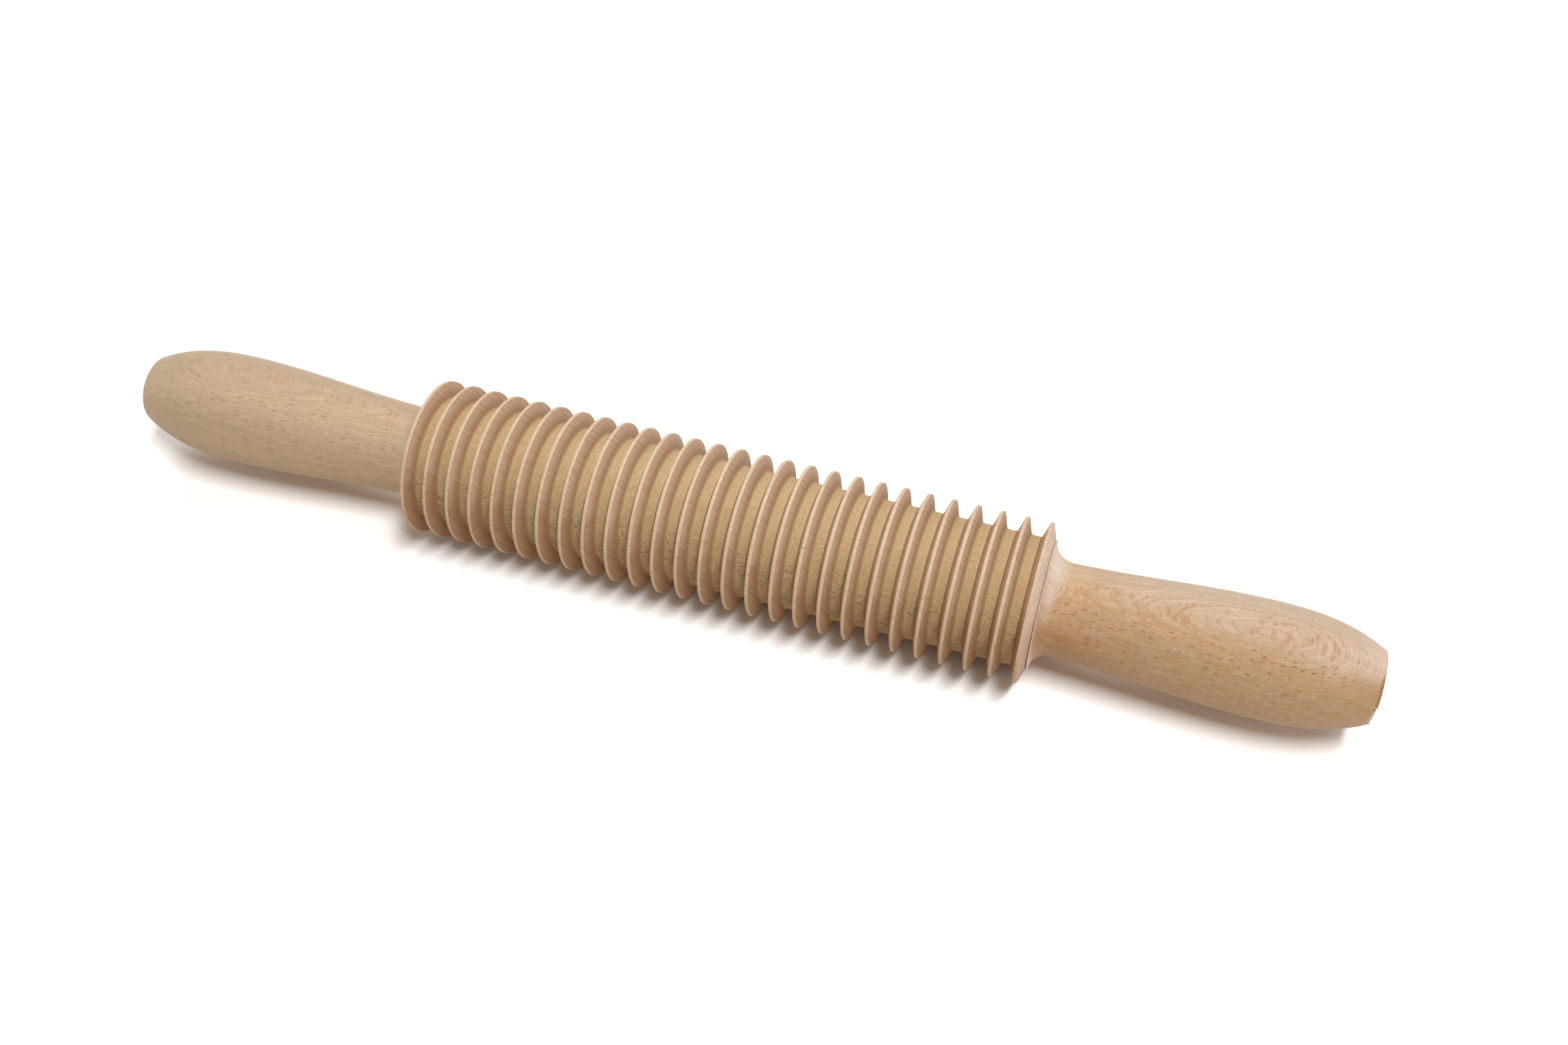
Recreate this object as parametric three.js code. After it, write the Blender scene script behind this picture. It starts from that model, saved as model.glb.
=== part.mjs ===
// Ridged rolling pin for cutting pasta, in millimetres, +Z up, lying along X on its roller.
// A beech roller with a row of thin tapered discs turns on a steel axle between two beech handles.
import * as THREE from 'three';

// Roller: a plain core with sharp-rimmed discs turned from the same wood
const DISC_COUNT = 27;
const DISC_PITCH = 6.08;
const DISC_DIAMETER = 40;
const CORE_DIAMETER = 32;
const RIM_WIDTH = 1;
const FLANK_RUN = 1.2;

// Handles: places along the handle are measured outward from its shoulder
const HANDLE_LENGTH = 79.5;
const SHOULDER_LIP = 0.15;
const COVE_LENGTH = 5.1;
const NECK_DIAMETER = 23.2;
const GRIP_DIAMETER = 28.5;
const GRIP_PLACE = 53;
const END_DIAMETER = 17.2;
const END_ROUND = 0.4;
const NECK_SLOPE = 0.025;
const END_SLOPE = -0.54;
const DRILL_POINT_ANGLE = THREE.MathUtils.degToRad(118);

// Axle: a steel rod with glue grooves near its ends
const AXLE_DIAMETER = 8;
const AXLE_IN_HANDLE = 45;
const AXLE_CHAMFER = 0.8;
const GROOVES_PER_END = 3;
const GROOVE_PITCH = 8;
const GROOVE_WIDTH = 2;
const GROOVE_DEPTH = 0.5;

// Bearings: a flanged bush in each end of the roller and a thrust washer in each handle
const BUSH_DIAMETER = 13;
const BUSH_LENGTH = 18;
const FLANGE_DIAMETER = 19;
const FLANGE_THICKNESS = 2;
const WASHER_DIAMETER = 18;
const WASHER_THICKNESS = 1.2;

// Clearances
const SHOULDER_GAP = 0.25;
const THRUST_GAP = 0.1;
const RUNNING_CLEARANCE = 0.15;
const SEAT_CLEARANCE = 0.1;
const BORE_CLEARANCE = 0.5;
const SOCKET_END_ROOM = 0.5;

// Facets: corners stand out so that the flats lie at the true radius, with one flat underneath
const SIDES = 28;
const CURVE_STEPS = 6;
const CORNER_SCALE = 1 / Math.cos(Math.PI / SIDES);

// Derived sizes
const discRadius = DISC_DIAMETER / 2;
const coreRadius = CORE_DIAMETER / 2;
const rimHalf = RIM_WIDTH / 2;
const rootHalf = rimHalf + FLANK_RUN;
const rollerHalf = (DISC_COUNT - 1) / 2 * DISC_PITCH + rootHalf;
const shoulderPlace = rollerHalf + SHOULDER_GAP;
const axisHeight = discRadius;

const axleRadius = AXLE_DIAMETER / 2;
const axleHalf = shoulderPlace + AXLE_IN_HANDLE;
const bushRadius = BUSH_DIAMETER / 2;
const flangeRadius = FLANGE_DIAMETER / 2;
const bearingRadius = axleRadius + RUNNING_CLEARANCE;
const washerRadius = WASHER_DIAMETER / 2;
const washerRecess = WASHER_THICKNESS + SEAT_CLEARANCE - (SHOULDER_GAP - THRUST_GAP);

// Wood, steel and nylon
const rollerBeech = new THREE.MeshStandardMaterial({ color: 0xd2b286, roughness: 0.72, metalness: 0 });
const handleBeech = new THREE.MeshStandardMaterial({ color: 0xcdb08d, roughness: 0.68, metalness: 0 });
const steel = new THREE.MeshStandardMaterial({ color: 0xb4b6b8, roughness: 0.35, metalness: 1 });
const nylon = new THREE.MeshStandardMaterial({ color: 0xe9e6dc, roughness: 0.5, metalness: 0 });

// Turns a closed or axis-to-axis outline, drawn as radius and place, about the X axis
function turned(name, outline, material) {
  const corners = outline.getPoints(CURVE_STEPS);
  const profile = corners.map((corner) => new THREE.Vector2(corner.x * CORNER_SCALE, corner.y));
  const geometry = new THREE.LatheGeometry(profile, SIDES, Math.PI / SIDES);
  geometry.rotateZ(-Math.PI / 2);
  const mesh = new THREE.Mesh(geometry, material);
  mesh.name = name;
  return mesh;
}

// Carries an outline on to a radius and place, leaving and arriving at given slopes of radius to place
function easeTo(outline, radius, place, leavingSlope, arrivingSlope) {
  const start = outline.currentPoint;
  const third = (place - start.y) / 3;
  outline.bezierCurveTo(
    start.x + leavingSlope * third, start.y + third,
    radius - arrivingSlope * third, place - third,
    radius, place,
  );
}

// Roller: the discs along the outside, then back through the stepped bore that takes both bushes
function ridgedRoller() {
  const boreRadius = axleRadius + BORE_CLEARANCE;
  const pocketRadius = bushRadius + SEAT_CLEARANCE;
  const flangeSeatRadius = flangeRadius + SEAT_CLEARANCE;
  const flangeSeatPlace = rollerHalf - FLANGE_THICKNESS - SEAT_CLEARANCE;
  const pocketPlace = rollerHalf - BUSH_LENGTH - SEAT_CLEARANCE;

  const outline = new THREE.Path();
  outline.moveTo(flangeSeatRadius, -rollerHalf);
  for (let disc = 0; disc < DISC_COUNT; disc += 1) {
    const middle = (disc - (DISC_COUNT - 1) / 2) * DISC_PITCH;
    outline.lineTo(coreRadius, middle - rootHalf);
    outline.lineTo(discRadius, middle - rimHalf);
    outline.lineTo(discRadius, middle + rimHalf);
    outline.lineTo(coreRadius, middle + rootHalf);
  }
  outline.lineTo(flangeSeatRadius, rollerHalf);
  outline.lineTo(flangeSeatRadius, flangeSeatPlace);
  outline.lineTo(pocketRadius, flangeSeatPlace);
  outline.lineTo(pocketRadius, pocketPlace);
  outline.lineTo(boreRadius, pocketPlace);
  outline.lineTo(boreRadius, -pocketPlace);
  outline.lineTo(pocketRadius, -pocketPlace);
  outline.lineTo(pocketRadius, -flangeSeatPlace);
  outline.lineTo(flangeSeatRadius, -flangeSeatPlace);
  outline.closePath();
  return turned('ridged_roller', outline, rollerBeech);
}

// Handle: blind socket, washer recess, sharp shoulder lip, cove, long swelling grip, blunt end
function handle(name) {
  const socketRadius = axleRadius + SEAT_CLEARANCE;
  const socketDepth = AXLE_IN_HANDLE + SOCKET_END_ROOM;
  const drillPoint = socketDepth + socketRadius / Math.tan(DRILL_POINT_ANGLE / 2);
  const recessRadius = washerRadius + SEAT_CLEARANCE;
  const neckRadius = NECK_DIAMETER / 2;
  const gripRadius = GRIP_DIAMETER / 2;
  const endRadius = END_DIAMETER / 2;
  const coveDepth = coreRadius - neckRadius;
  const neckPlace = SHOULDER_LIP + COVE_LENGTH;
  const roundPlace = HANDLE_LENGTH - END_ROUND;
  const roundCorner = endRadius + END_SLOPE * END_ROUND;

  const outline = new THREE.Path();
  outline.moveTo(0, drillPoint);
  outline.lineTo(socketRadius, socketDepth);
  outline.lineTo(socketRadius, washerRecess);
  outline.lineTo(recessRadius, washerRecess);
  outline.lineTo(recessRadius, 0);
  outline.lineTo(coreRadius, 0);
  outline.lineTo(coreRadius, SHOULDER_LIP);
  outline.absellipse(coreRadius, neckPlace, coveDepth, COVE_LENGTH, -Math.PI / 2, -Math.PI, true);
  easeTo(outline, gripRadius, GRIP_PLACE, NECK_SLOPE, 0);
  easeTo(outline, endRadius, roundPlace, 0, END_SLOPE);
  outline.quadraticCurveTo(roundCorner, HANDLE_LENGTH, roundCorner - END_ROUND, HANDLE_LENGTH);
  outline.lineTo(0, HANDLE_LENGTH);
  return turned(name, outline, handleBeech);
}

// Axle: plain between the handles, with ring grooves that hold the glue inside each socket
function axle() {
  const groovedRadius = axleRadius - GROOVE_DEPTH;
  const grooves = [];
  for (let groove = 0; groove < GROOVES_PER_END; groove += 1) {
    const place = axleHalf - (groove + 1) * GROOVE_PITCH;
    grooves.push(place, -place);
  }
  grooves.sort((a, b) => a - b);

  const outline = new THREE.Path();
  outline.moveTo(0, -axleHalf);
  outline.lineTo(axleRadius - AXLE_CHAMFER, -axleHalf);
  outline.lineTo(axleRadius, -axleHalf + AXLE_CHAMFER);
  for (const place of grooves) {
    outline.lineTo(axleRadius, place - GROOVE_WIDTH / 2);
    outline.lineTo(groovedRadius, place - GROOVE_WIDTH / 4);
    outline.lineTo(groovedRadius, place + GROOVE_WIDTH / 4);
    outline.lineTo(axleRadius, place + GROOVE_WIDTH / 2);
  }
  outline.lineTo(axleRadius, axleHalf - AXLE_CHAMFER);
  outline.lineTo(axleRadius - AXLE_CHAMFER, axleHalf);
  outline.lineTo(0, axleHalf);
  return turned('axle', outline, steel);
}

// Bush: its flange lies flush in the end of the roller, its body reaches inward from there
function bush(name) {
  const outline = new THREE.Path();
  outline.moveTo(bearingRadius, -BUSH_LENGTH);
  outline.lineTo(bushRadius, -BUSH_LENGTH);
  outline.lineTo(bushRadius, -FLANGE_THICKNESS);
  outline.lineTo(flangeRadius, -FLANGE_THICKNESS);
  outline.lineTo(flangeRadius, 0);
  outline.lineTo(bearingRadius, 0);
  outline.closePath();
  return turned(name, outline, nylon);
}

// Washer: seated in the handle's recess and standing a little proud of the shoulder
function washer(name) {
  const outline = new THREE.Path();
  outline.moveTo(bearingRadius, 0);
  outline.lineTo(washerRadius, 0);
  outline.lineTo(washerRadius, WASHER_THICKNESS);
  outline.lineTo(bearingRadius, WASHER_THICKNESS);
  outline.closePath();
  return turned(name, outline, steel);
}

// One end of the pin: handle, washer and bush, built for the +X side
function pinEnd(side) {
  const end = new THREE.Group();
  const endBush = bush(`${side}_bush`);
  endBush.position.x = rollerHalf;
  const endWasher = washer(`${side}_washer`);
  endWasher.position.x = rollerHalf + THRUST_GAP;
  const endHandle = handle(`${side}_handle`);
  endHandle.position.x = shoulderPlace;
  end.add(endBush, endWasher, endHandle);
  return end;
}

const rightEnd = pinEnd('right');
const leftEnd = pinEnd('left');
leftEnd.rotation.z = Math.PI;

const rollingPin = new THREE.Group();
rollingPin.name = 'rolling_pin';
rollingPin.add(ridgedRoller(), axle(), rightEnd, leftEnd);
rollingPin.position.z = axisHeight;

export default rollingPin;
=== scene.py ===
"""Ridged beech rolling pin on a white floor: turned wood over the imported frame, metres, +Z up."""

import math

import bpy
import numpy as np
from mathutils import Matrix, Vector


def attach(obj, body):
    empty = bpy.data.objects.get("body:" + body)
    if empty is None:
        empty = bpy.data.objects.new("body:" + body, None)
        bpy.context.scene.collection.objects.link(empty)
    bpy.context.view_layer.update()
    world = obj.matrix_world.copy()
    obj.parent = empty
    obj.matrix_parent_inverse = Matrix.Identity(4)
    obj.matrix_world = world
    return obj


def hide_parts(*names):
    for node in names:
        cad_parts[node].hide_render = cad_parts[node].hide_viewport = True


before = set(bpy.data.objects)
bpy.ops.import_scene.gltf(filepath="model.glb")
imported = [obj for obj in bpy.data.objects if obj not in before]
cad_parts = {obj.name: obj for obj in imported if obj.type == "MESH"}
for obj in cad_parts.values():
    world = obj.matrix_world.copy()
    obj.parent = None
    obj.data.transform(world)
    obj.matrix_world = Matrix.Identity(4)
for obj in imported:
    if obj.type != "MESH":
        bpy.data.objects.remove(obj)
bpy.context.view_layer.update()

MM = 0.001
AXIS_HEIGHT = 20.0

# Roller, in millimetres
DISC_COUNT = 27
DISC_PITCH = 6.08
DISC_RADIUS = 20.0
CORE_RADIUS = 16.0
RIM_HALF = 0.39
FLANK_RUN = 1.31
ROOT_HALF = RIM_HALF + FLANK_RUN
ROLLER_HALF = (DISC_COUNT - 1) / 2 * DISC_PITCH + ROOT_HALF
RIM_EASE = 0.08
LEFT_ROOT_EASE = 0.3
RIGHT_ROOT_EASE = 0.75

# Handles: places run outward from the shoulder
SHOULDER_GAP = 0.25
SHOULDER_PLACE = ROLLER_HALF + SHOULDER_GAP
HANDLE_LENGTH = 79.5
SHOULDER_LIP = 0.15
SHOULDER_REACH = 0.17
LIP_EASE = 0.05
COVE_LENGTH = 5.1
NECK_RADIUS = 11.6
NECK_SLOPE = 0.025
GRIP_RADIUS = 14.25
GRIP_PLACE = 53.0
END_RADIUS = 8.9
END_ROUND = 0.1
END_SLOPE = -0.54
FACE_RINGS = (0.4, 1.0, 2.0)

# Axle, bushes and washers
AXLE_RADIUS = 4.0
AXLE_IN_HANDLE = 45.0
AXLE_CHAMFER = 0.8
GROOVE_PLACES = (8.0, 16.0, 24.0)
GROOVE_WIDTH = 2.0
GROOVE_DEPTH = 0.5
BEARING_RADIUS = 4.15
BUSH_RADIUS = 6.5
BUSH_LENGTH = 18.0
FLANGE_RADIUS = 9.5
FLANGE_THICKNESS = 2.0
WASHER_RADIUS = 9.0
WASHER_THICKNESS = 1.2
THRUST_GAP = 0.1
SEAT_CLEARANCE = 0.1
BORE_RADIUS = 4.5
SOCKET_END_ROOM = 0.5
DRILL_POINT = math.radians(118)
EDGE_EASE = 0.15

# Steps in a turned piece; those of the grip crowd towards the far end of each run
ROLLER_STEPS = 216
HANDLE_STEPS = 216
SMALL_STEPS = 72
EASE_STEPS = 3
COVE_STEPS = 14
GRIP_STEPS = 30
GRIP_CROWD = 1.6
END_STEPS = 5
SHARP_ANGLE = math.radians(32)

# Bruises on the rims, in millimetres
NICK_COUNT = 16
NICK_SEED = 5
NICK_EDGE = 0.4
NICK_WIDTH = 0.35
NICK_LENGTH = (0.5, 1.2)
NICK_DEPTH = (0.08, 0.22)
NICK_BAND = 1.0
NICK_STAIN = 0.6

# Wear on the right handle's end: angles run from the back over the top, so the front is at 180 degrees
WORN_FROM = math.radians(90)
WORN_TAPER = math.radians(28)
WORN_TO = math.radians(161)
WORN_STOP = math.radians(3)
WORN_DEPTH = 0.12
WORN_REACH = 1.8
WORN_FACE = 1.2
CHIP_FROM = math.radians(160)
CHIP_START = math.radians(4)
CHIP_TO = math.radians(214)
CHIP_STOP = math.radians(14)
CHIP_DEPTH = 0.62
CHIP_REACH = 1.2
NOTCH_ANGLE = math.radians(166)
NOTCH_WIDTH = math.radians(3.5)
NOTCH_DEPTH = 0.5
RAGGED_STEPS = 90
RAGGED_SHARE = (0.55, 1.0)
RUBBED_ALONG = 0.5
BROKEN_INWARD = 0.4


def tone(red, green, blue):
    """A colour written in screen values from 0 to 255, by the sRGB curve."""
    linear = []
    for value in (red, green, blue):
        share = value / 255
        linear.append(share / 12.92 if share <= 0.04045 else ((share + 0.055) / 1.055) ** 2.4)
    return (*linear, 1.0)


def bend(start, corner, stop, t):
    """A point on the curve that goes from start to stop by way of a corner."""
    return (1 - t) ** 2 * start + 2 * t * (1 - t) * corner + t ** 2 * stop


def eased(corners):
    """Points of an outline whose corners, as (place, radius, cut), are rounded over the length cut."""
    points = []
    for index, (place, radius, cut) in enumerate(corners):
        corner = np.array((place, radius))
        if cut == 0:
            points.append(corner)
            continue
        back = np.array(corners[index - 1][:2]) - corner
        ahead = np.array(corners[(index + 1) % len(corners)][:2]) - corner
        start = corner + back / np.linalg.norm(back) * cut
        stop = corner + ahead / np.linalg.norm(ahead) * cut
        points += [bend(start, corner, stop, t) for t in np.linspace(0, 1, EASE_STEPS + 1)]
    return points


def swell(start, stop, leaving, arriving):
    """Points of a smooth run between two (place, radius) points with a slope at each end."""
    run = stop[0] - start[0]
    points = []
    for t in 1 - (1 - np.linspace(0, 1, GRIP_STEPS + 1)[1:]) ** GRIP_CROWD:
        radius = (
            (2 * t ** 3 - 3 * t ** 2 + 1) * start[1]
            + (t ** 3 - 2 * t ** 2 + t) * run * leaving
            + (3 * t ** 2 - 2 * t ** 3) * stop[1]
            + (t ** 3 - t ** 2) * run * arriving
        )
        points.append((start[0] + run * t, radius))
    return points


def turned(name, profile, steps, shape=None):
    """One closed piece turned about the pin's axis from a (place, radius) outline in millimetres."""
    place, radius = np.array(profile, float).T
    angle = np.arange(steps) * 2 * math.pi / steps
    places = np.repeat(place[:, None], steps, 1)
    radii = np.repeat(radius[:, None], steps, 1)
    wear = np.zeros_like(radii)
    if shape is not None:
        places, radii, wear = shape(places, radii, angle)
    points = np.stack((places, radii * np.cos(angle), AXIS_HEIGHT + radii * np.sin(angle)), -1)
    faces = []
    rings = len(profile)
    for ring in range(rings):
        after = (ring + 1) % rings
        if radius[ring] == 0 and radius[after] == 0:
            continue
        here = ring * steps
        there = after * steps
        for step in range(steps):
            turn = (step + 1) % steps
            face = [here + step, here + turn, there + turn, there + step]
            if radius[ring] == 0:
                face = [here, *face[2:]]
            elif radius[after] == 0:
                face = [*face[:2], there]
            faces.append(face)
    used = sorted({corner for face in faces for corner in face})
    renumber = {corner: number for number, corner in enumerate(used)}
    mesh = bpy.data.meshes.new(name)
    flat = points.reshape(-1, 3)[used] * MM
    mesh.from_pydata(flat.tolist(), [], [[renumber[corner] for corner in face] for face in faces])
    mesh.attributes.new("wear", "FLOAT", "POINT").data.foreach_set("value", wear.reshape(-1)[used])
    if signed_volume(mesh) < 0:
        mesh.flip_normals()
    mesh.polygons.foreach_set("use_smooth", [True] * len(mesh.polygons))
    mesh.set_sharp_from_angle(angle=SHARP_ANGLE)
    piece = bpy.data.objects.new(name, mesh)
    bpy.context.scene.collection.objects.link(piece)
    return piece


def signed_volume(mesh):
    """Positive where the faces look outward."""
    mesh.calc_loop_triangles()
    corners = np.array([vertex.co for vertex in mesh.vertices])
    triangles = np.array([triangle.vertices for triangle in mesh.loop_triangles])
    a, b, c = (corners[triangles[:, side]] for side in range(3))
    return float(np.einsum("ij,ij->", a, np.cross(b, c)))


def dress(piece, body, node, material):
    """Puts a piece on its body in place of its CAD node, with its material."""
    piece.data.materials.append(material)
    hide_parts(node)
    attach(piece, body)


def disc_place(disc):
    """The middle of a disc, counted from the left."""
    return (disc - (DISC_COUNT - 1) / 2) * DISC_PITCH


def roller_profile():
    """The discs along the outside, then back through the stepped bore."""
    flange_seat = FLANGE_RADIUS + SEAT_CLEARANCE
    pocket = BUSH_RADIUS + SEAT_CLEARANCE
    seat_place = ROLLER_HALF - FLANGE_THICKNESS - SEAT_CLEARANCE
    pocket_place = ROLLER_HALF - BUSH_LENGTH - SEAT_CLEARANCE
    corners = [(-ROLLER_HALF, flange_seat, 0)]
    for disc in range(DISC_COUNT):
        middle = disc_place(disc)
        outer_left = disc == 0
        outer_right = disc == DISC_COUNT - 1
        corners.append((middle - ROOT_HALF, CORE_RADIUS, 0 if outer_left else LEFT_ROOT_EASE))
        corners.append((middle - RIM_HALF, DISC_RADIUS, RIM_EASE))
        corners.append((middle + RIM_HALF, DISC_RADIUS, RIM_EASE))
        corners.append((middle + ROOT_HALF, CORE_RADIUS, 0 if outer_right else RIGHT_ROOT_EASE))
    corners.append((ROLLER_HALF, flange_seat, 0))
    for side, places in ((1, (seat_place, pocket_place)), (-1, (-pocket_place, -seat_place))):
        radii = (flange_seat, pocket, BORE_RADIUS)[::side]
        corners.append((places[0], radii[0], 0))
        corners.append((places[0], radii[1], 0))
        corners.append((places[1], radii[1], 0))
        corners.append((places[1], radii[2], 0))
    return eased(corners)


def nicked(places, radii, angle):
    """Small bruises on the rims of the discs."""
    draw = np.random.default_rng(NICK_SEED)
    wear = np.zeros_like(radii)
    for _ in range(NICK_COUNT):
        middle = disc_place(draw.integers(DISC_COUNT)) + draw.choice((-NICK_EDGE, NICK_EDGE))
        turn = draw.uniform(0, 2 * math.pi)
        length = draw.uniform(*NICK_LENGTH)
        depth = draw.uniform(*NICK_DEPTH)
        off = (angle - turn + math.pi) % (2 * math.pi) - math.pi
        near = np.exp(-(off * DISC_RADIUS / length) ** 2)
        near = near * np.exp(-((places - middle) / NICK_WIDTH) ** 2)
        near = near * (radii > DISC_RADIUS - NICK_BAND)
        radii = radii - depth * near
        wear = np.maximum(wear, near * NICK_STAIN)
    return places, radii, wear


def handle_profile(side):
    """Blind socket, washer recess, sharp shoulder lip, cove, long swelling grip, blunt end."""
    socket = AXLE_RADIUS + SEAT_CLEARANCE
    socket_depth = AXLE_IN_HANDLE + SOCKET_END_ROOM
    recess = WASHER_RADIUS + SEAT_CLEARANCE
    recess_depth = WASHER_THICKNESS + SEAT_CLEARANCE - (SHOULDER_GAP - THRUST_GAP)
    cove_depth = CORE_RADIUS - NECK_RADIUS
    neck_place = SHOULDER_LIP + COVE_LENGTH
    round_place = HANDLE_LENGTH - END_ROUND
    round_corner = END_RADIUS + END_SLOPE * END_ROUND
    face_radius = round_corner - END_ROUND
    points = [(socket_depth + socket / math.tan(DRILL_POINT / 2), 0), (socket_depth, socket)]
    points += [(recess_depth, socket), (recess_depth, recess), (-SHOULDER_REACH, recess)]
    points += [(-SHOULDER_REACH, CORE_RADIUS - LIP_EASE), (LIP_EASE - SHOULDER_REACH, CORE_RADIUS)]
    for turn in np.linspace(0, math.pi / 2, COVE_STEPS + 1):
        place = neck_place - COVE_LENGTH * math.cos(turn)
        points.append((place, CORE_RADIUS - cove_depth * math.sin(turn)))
    points += swell((neck_place, NECK_RADIUS), (GRIP_PLACE, GRIP_RADIUS), NECK_SLOPE, 0)
    points += swell((GRIP_PLACE, GRIP_RADIUS), (round_place, END_RADIUS), 0, END_SLOPE)
    for t in np.linspace(0, 1, END_STEPS + 1)[1:]:
        place = HANDLE_LENGTH - END_ROUND * (1 - t) ** 2
        points.append((place, bend(END_RADIUS, round_corner, face_radius, t)))
    points += [(HANDLE_LENGTH, face_radius - ring) for ring in FACE_RINGS]
    points.append((HANDLE_LENGTH, 0))
    return [(side * (SHOULDER_PLACE + place), radius) for place, radius in points]


def between(angle, start, rise, stop, fall):
    """1 between two angles, after a rise from the first and before a fall to the second."""
    return np.clip((angle - start) / rise, 0, 1) * np.clip((stop - angle) / fall, 0, 1)


def worn_end(places, radii, angle):
    """The right handle's end: a worn front edge that is broken away lower down."""
    draw = np.random.default_rng(NICK_SEED)
    ragged_angles = np.linspace(0, 2 * math.pi, RAGGED_STEPS)
    ragged = np.interp(angle, ragged_angles, draw.uniform(*RAGGED_SHARE, RAGGED_STEPS))
    worn = between(angle, WORN_FROM, WORN_TAPER, WORN_TO, WORN_STOP)
    chip = between(angle, CHIP_FROM, CHIP_START, CHIP_TO, CHIP_STOP)
    notch = np.exp(-((angle - NOTCH_ANGLE) / NOTCH_WIDTH) ** 2)
    edge = np.abs(places) - SHOULDER_PLACE - HANDLE_LENGTH
    face = np.clip(1 + (radii - END_RADIUS) / WORN_FACE, 0, 1)
    near = np.clip(1 + edge / CHIP_REACH, 0, 1) * face * ragged
    rubbed = near * WORN_DEPTH * worn
    broken = near * (CHIP_DEPTH * chip + NOTCH_DEPTH * notch)
    wear = np.clip(1 + edge / WORN_REACH, 0, 1) * face * np.maximum(worn, notch)
    places = places - np.sign(places) * (RUBBED_ALONG * rubbed + broken)
    return places, radii - rubbed - BROKEN_INWARD * broken, wear


def axle_profile():
    """A rod with ring grooves that hold the glue in each socket."""
    half = SHOULDER_PLACE + AXLE_IN_HANDLE
    grooves = sorted(side * (half - place) for place in GROOVE_PLACES for side in (-1, 1))
    points = [(-half, 0), (-half, AXLE_RADIUS - AXLE_CHAMFER), (-half + AXLE_CHAMFER, AXLE_RADIUS)]
    for place in grooves:
        points.append((place - GROOVE_WIDTH / 2, AXLE_RADIUS))
        points.append((place - GROOVE_WIDTH / 4, AXLE_RADIUS - GROOVE_DEPTH))
        points.append((place + GROOVE_WIDTH / 4, AXLE_RADIUS - GROOVE_DEPTH))
        points.append((place + GROOVE_WIDTH / 2, AXLE_RADIUS))
    points += [(half - AXLE_CHAMFER, AXLE_RADIUS), (half, AXLE_RADIUS - AXLE_CHAMFER), (half, 0)]
    return points


def ring_profile(side, start, corners):
    """A ring's outline with broken edges, its places counted outward from a start."""
    points = eased([(place, radius, EDGE_EASE) for place, radius in corners])
    return [(side * (start + place), radius) for place, radius in points]


def bush_profile(side):
    """A sleeve with a flange flush in the roller's end."""
    corners = (
        (-BUSH_LENGTH, BEARING_RADIUS),
        (-BUSH_LENGTH, BUSH_RADIUS),
        (-FLANGE_THICKNESS, BUSH_RADIUS),
        (-FLANGE_THICKNESS, FLANGE_RADIUS),
        (0, FLANGE_RADIUS),
        (0, BEARING_RADIUS),
    )
    return ring_profile(side, ROLLER_HALF, corners)


def washer_profile(side):
    """A flat ring that stands a little off the bush."""
    corners = (
        (0, BEARING_RADIUS),
        (0, WASHER_RADIUS),
        (WASHER_THICKNESS, WASHER_RADIUS),
        (WASHER_THICKNESS, BEARING_RADIUS),
    )
    return ring_profile(side, ROLLER_HALF + THRUST_GAP, corners)


# Sockets of a Mix node, which has its own for each kind of data: under, over and result
MIX_VALUE = (2, 3, 0)
MIX_COLOUR = (6, 7, 2)
WARP_DETAIL = 1.0
BAND_ROUGHNESS = 0.7
CELL_FULL = 0.5
FUZZ_ROUGHNESS = 0.45
FUZZ_TONE = tone(255, 244, 232)
WHITE = (1.0, 1.0, 1.0, 1.0)


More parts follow.
